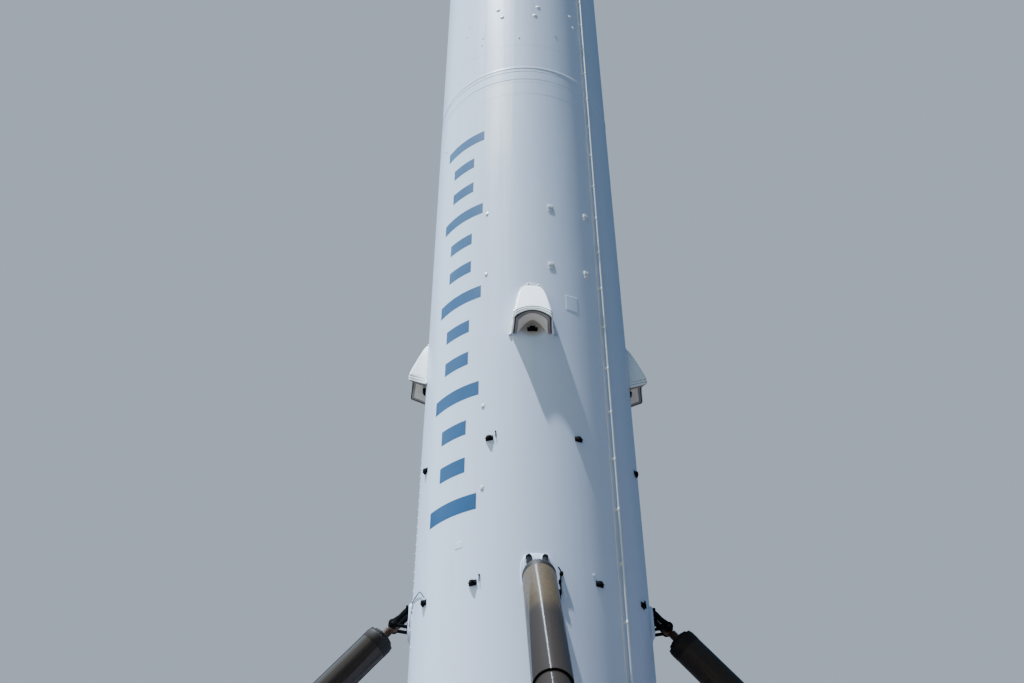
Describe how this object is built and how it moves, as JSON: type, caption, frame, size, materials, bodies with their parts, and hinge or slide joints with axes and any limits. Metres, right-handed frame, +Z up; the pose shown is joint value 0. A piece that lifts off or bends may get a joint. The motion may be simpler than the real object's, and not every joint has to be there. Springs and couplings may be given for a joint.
{
  "type": "reusable rocket booster stage on landing legs, 1:2 scale model",
  "caption": "Tall white booster stage standing on deployed landing legs, with telescoping leg struts, leg-tip hoods, folding grid fins and gimballed engine bells.",
  "frame": {"origin": "centre of the feet on the floor", "axes": "+Z up along the stage, -Y towards the front leg, +X towards the right leg"},
  "size_m": [9.27, 9.27, 24.8],
  "materials": {
    "white_paint": "satin white paint with faint streaks",
    "interstage_paint": "satin white paint over composite",
    "hood_paint": "satin white paint, dark rim",
    "conduit_paint": "satin white paint",
    "leg_paint": "satin white paint, dark inner side",
    "fin_base_paint": "satin white paint",
    "strut_composite": "clear-coated dark composite, bronze at the top",
    "black_fitting": "semi-gloss black",
    "foot_metal": "scuffed bare metal",
    "fin_alloy": "bare cast alloy",
    "engine_metal": "heat-tinted metal",
    "fitting_steel": "machined",
    "marking_paint": "satin blue paint",
    "rubber_trim": "weathered black seal",
    "heat_shield": "sooted ablative sheet"
  },
  "bodies": {
    "stage": {"engine_section": "white_paint", "fuel_tank": "white_paint", "oxidizer_tank": "white_paint", "interstage": "interstage_paint", "base_heat_shield": "heat_shield", "conduit": "conduit_paint", "rear_raceway": "white_paint", "thruster_pod_right": "white_paint", "thruster_pod_left": "white_paint", "leg_tip_hood_front": "hood_paint", "strut_bracket_front": "black_fitting", "leg_front": "leg_paint", "foot_front": "foot_metal", "strut_upper_tube_front": "strut_composite", "strut_lower_tube_front": "strut_composite", "fin_base_front": "fin_base_paint", "leg_tip_hood_right": "hood_paint", "strut_bracket_right": "black_fitting", "leg_right": "leg_paint", "foot_right": "foot_metal", "strut_upper_tube_right": "strut_composite", "strut_lower_tube_right": "strut_composite", "fin_base_right": "fin_base_paint", "leg_tip_hood_rear": "hood_paint", "strut_bracket_rear": "black_fitting", "leg_rear": "leg_paint", "foot_rear": "foot_metal", "strut_upper_tube_rear": "strut_composite", "strut_lower_tube_rear": "strut_composite", "fin_base_rear": "fin_base_paint", "leg_tip_hood_left": "hood_paint", "strut_bracket_left": "black_fitting", "leg_left": "leg_paint", "foot_left": "foot_metal", "strut_upper_tube_left": "strut_composite", "strut_lower_tube_left": "strut_composite", "fin_base_left": "fin_base_paint"},
    "fin_yoke_body_front": {"fin_yoke_front": "fin_alloy"},
    "fin_body_front": {"grid_fin_front": "fin_alloy"},
    "fin_yoke_body_right": {"fin_yoke_right": "fin_alloy"},
    "fin_body_right": {"grid_fin_right": "fin_alloy"},
    "fin_yoke_body_rear": {"fin_yoke_rear": "fin_alloy"},
    "fin_body_rear": {"grid_fin_rear": "fin_alloy"},
    "fin_yoke_body_left": {"fin_yoke_left": "fin_alloy"},
    "fin_body_left": {"grid_fin_left": "fin_alloy"},
    "gimbal_body": {"gimbal_block": "fitting_steel"},
    "centre_engine_body": {"engine_centre": "engine_metal"},
    "engine_body_1": {"engine_1": "engine_metal"},
    "engine_body_2": {"engine_2": "engine_metal"},
    "engine_body_3": {"engine_3": "engine_metal"},
    "engine_body_4": {"engine_4": "engine_metal"},
    "engine_body_5": {"engine_5": "engine_metal"},
    "engine_body_6": {"engine_6": "engine_metal"},
    "engine_body_7": {"engine_7": "engine_metal"},
    "engine_body_8": {"engine_8": "engine_metal"}
  },
  "joints": [
    {"name": "fin_fold_front", "type": "hinge", "parent": "stage", "child": "fin_yoke_body_front", "pos_m": [0, -1.08, 22.05], "axis": [-1, 0, 0], "range_deg": [0, 90]},
    {"name": "fin_steer_front", "type": "hinge", "parent": "fin_yoke_body_front", "child": "fin_body_front", "pos_m": [0, -1.08, 22.05], "axis": [0, -1, 0], "range_deg": [-20, 20]},
    {"name": "fin_fold_right", "type": "hinge", "parent": "stage", "child": "fin_yoke_body_right", "pos_m": [1.08, 0, 22.05], "axis": [0, -1, 0], "range_deg": [0, 90]},
    {"name": "fin_steer_right", "type": "hinge", "parent": "fin_yoke_body_right", "child": "fin_body_right", "pos_m": [1.08, 0, 22.05], "axis": [1, 0, 0], "range_deg": [-20, 20]},
    {"name": "fin_fold_rear", "type": "hinge", "parent": "stage", "child": "fin_yoke_body_rear", "pos_m": [0, 1.08, 22.05], "axis": [1, 0, 0], "range_deg": [0, 90]},
    {"name": "fin_steer_rear", "type": "hinge", "parent": "fin_yoke_body_rear", "child": "fin_body_rear", "pos_m": [0, 1.08, 22.05], "axis": [0, 1, 0], "range_deg": [-20, 20]},
    {"name": "fin_fold_left", "type": "hinge", "parent": "stage", "child": "fin_yoke_body_left", "pos_m": [-1.08, 0, 22.05], "axis": [0, 1, 0], "range_deg": [0, 90]},
    {"name": "fin_steer_left", "type": "hinge", "parent": "fin_yoke_body_left", "child": "fin_body_left", "pos_m": [-1.08, 0, 22.05], "axis": [-1, 0, 0], "range_deg": [-20, 20]},
    {"name": "centre_gimbal_upper", "type": "hinge", "parent": "stage", "child": "gimbal_body", "pos_m": [0, 0, 1.725], "axis": [0, 1, 0], "range_deg": [-5, 5]},
    {"name": "centre_gimbal_lower", "type": "hinge", "parent": "gimbal_body", "child": "centre_engine_body", "pos_m": [0, 0, 1.66], "axis": [1, 0, 0], "range_deg": [-5, 5]},
    {"name": "engine_tilt_1", "type": "hinge", "parent": "stage", "child": "engine_body_1", "pos_m": [0, -0.68, 1.66], "axis": [-1, 0, 0], "range_deg": [-5, 5]},
    {"name": "engine_tilt_2", "type": "hinge", "parent": "stage", "child": "engine_body_2", "pos_m": [0.48083, -0.48083, 1.66], "axis": [-0.7071, -0.7071, 0], "range_deg": [-5, 5]},
    {"name": "engine_tilt_3", "type": "hinge", "parent": "stage", "child": "engine_body_3", "pos_m": [0.68, 0, 1.66], "axis": [0, -1, 0], "range_deg": [-5, 5]},
    {"name": "engine_tilt_4", "type": "hinge", "parent": "stage", "child": "engine_body_4", "pos_m": [0.48083, 0.48083, 1.66], "axis": [0.7071, -0.7071, 0], "range_deg": [-5, 5]},
    {"name": "engine_tilt_5", "type": "hinge", "parent": "stage", "child": "engine_body_5", "pos_m": [0, 0.68, 1.66], "axis": [1, 0, 0], "range_deg": [-5, 5]},
    {"name": "engine_tilt_6", "type": "hinge", "parent": "stage", "child": "engine_body_6", "pos_m": [-0.48083, 0.48083, 1.66], "axis": [0.7071, 0.7071, 0], "range_deg": [-5, 5]},
    {"name": "engine_tilt_7", "type": "hinge", "parent": "stage", "child": "engine_body_7", "pos_m": [-0.68, 0, 1.66], "axis": [0, 1, 0], "range_deg": [-5, 5]},
    {"name": "engine_tilt_8", "type": "hinge", "parent": "stage", "child": "engine_body_8", "pos_m": [-0.48083, -0.48083, 1.66], "axis": [-0.7071, 0.7071, 0], "range_deg": [-5, 5]}
  ]
}
